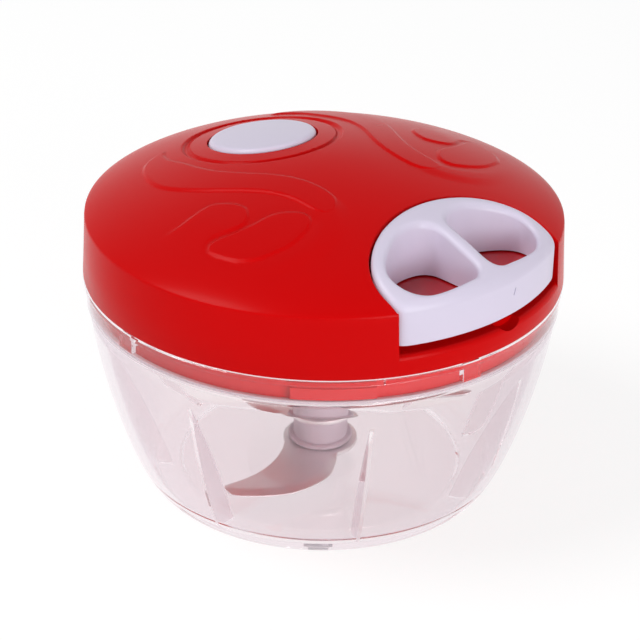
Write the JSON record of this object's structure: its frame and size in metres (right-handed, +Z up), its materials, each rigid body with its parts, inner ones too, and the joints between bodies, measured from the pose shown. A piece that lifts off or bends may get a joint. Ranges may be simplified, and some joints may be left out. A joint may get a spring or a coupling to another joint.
{
  "type": "pull-cord food chopper",
  "caption": "Hand food chopper: a clear round bowl, a domed red lid with raised scrolls, a handle with finger holes pulled out on a cord, a press button and curved blades on an upright shaft.",
  "frame": {"origin": "centre of the bowl's underside, on the surface that it stands on", "axes": "+Z up along the blade shaft, +X the way the handle is pulled, +Y to the left of that"},
  "size_m": [0.1268, 0.1268, 0.0923],
  "materials": {
    "clear_plastic": "clear, polished, moulded plastic",
    "red_plastic": "glossy red plastic",
    "pale_plastic": "satin pale lilac-white plastic",
    "frosted_plastic": "translucent grey-white plastic",
    "blade_steel": "polished stainless steel with a fine brush and a ground edge",
    "steel": "plain bright steel",
    "silicone": "soft translucent white silicone",
    "grey_plastic": "matt grey plastic",
    "cord_fibre": "braided pale nylon cord"
  },
  "bodies": {
    "bowl_body": {"bowl": "clear_plastic", "pivot_pin": "steel"},
    "seal_body": {"seal_ring": "silicone"},
    "lid_body": {"top_cover": "red_plastic", "base_cover": "red_plastic", "shaft_seal": "silicone", "drum_axle": "steel", "cord_guide": "steel", "thrust_washer": "grey_plastic", "recoil_spring": "steel", "cover_screw_1": "steel", "cover_screw_2": "steel", "cover_screw_3": "steel", "cover_screw_4": "steel"},
    "drum_body": {"drum": "pale_plastic", "cord_winding": "cord_fibre", "drive_socket": "pale_plastic", "drum_screw": "steel"},
    "handle_body": {"pull_handle": "pale_plastic", "cord_knot": "cord_fibre", "pull_cord": "cord_fibre"},
    "button_body": {"press_button": "pale_plastic", "button_clip": "steel", "button_spring": "steel"},
    "blade_body": {"blade_shaft": "frosted_plastic", "lower_blade": "blade_steel", "middle_blade": "blade_steel", "upper_blade": "blade_steel"}
  },
  "joints": [
    {"name": "lid_lift", "type": "slide", "parent": "bowl_body", "child": "seal_body", "axis": [0, 0, 1], "range_m": [0, 0.1]},
    {"name": "lid_turn", "type": "hinge", "parent": "seal_body", "child": "lid_body", "pos_m": [0, 0, 0.06], "axis": [0, 0, 1], "range_deg": [0, 21]},
    {"name": "drum_spin", "type": "hinge", "parent": "lid_body", "child": "drum_body", "pos_m": [0, 0, 0.075], "axis": [0, 0, 1], "range_deg": [0, 1260]},
    {"name": "handle_pull", "type": "slide", "parent": "lid_body", "child": "handle_body", "axis": [1, 0, 0], "range_m": [0, 0.3], "stiffness_N_per_m": 20, "springref_m": -0.1, "deforming": ["pull_cord"]},
    {"name": "button_press", "type": "slide", "parent": "lid_body", "child": "button_body", "axis": [0, 0, -1], "range_m": [0, 0.0025], "stiffness_N_per_m": 300, "springref_m": -0.002, "deforming": ["button_spring"]},
    {"name": "blade_spin", "type": "hinge", "parent": "bowl_body", "child": "blade_body", "pos_m": [0, 0, 0.03], "axis": [0, 0, 1], "range_deg": [0, 1260]}
  ],
  "couplings": [
    {"joint": "drum_spin", "follows": "handle_pull", "rad_per_m": 73.26},
    {"joint": "blade_spin", "follows": "handle_pull", "rad_per_m": 73.26}
  ]
}
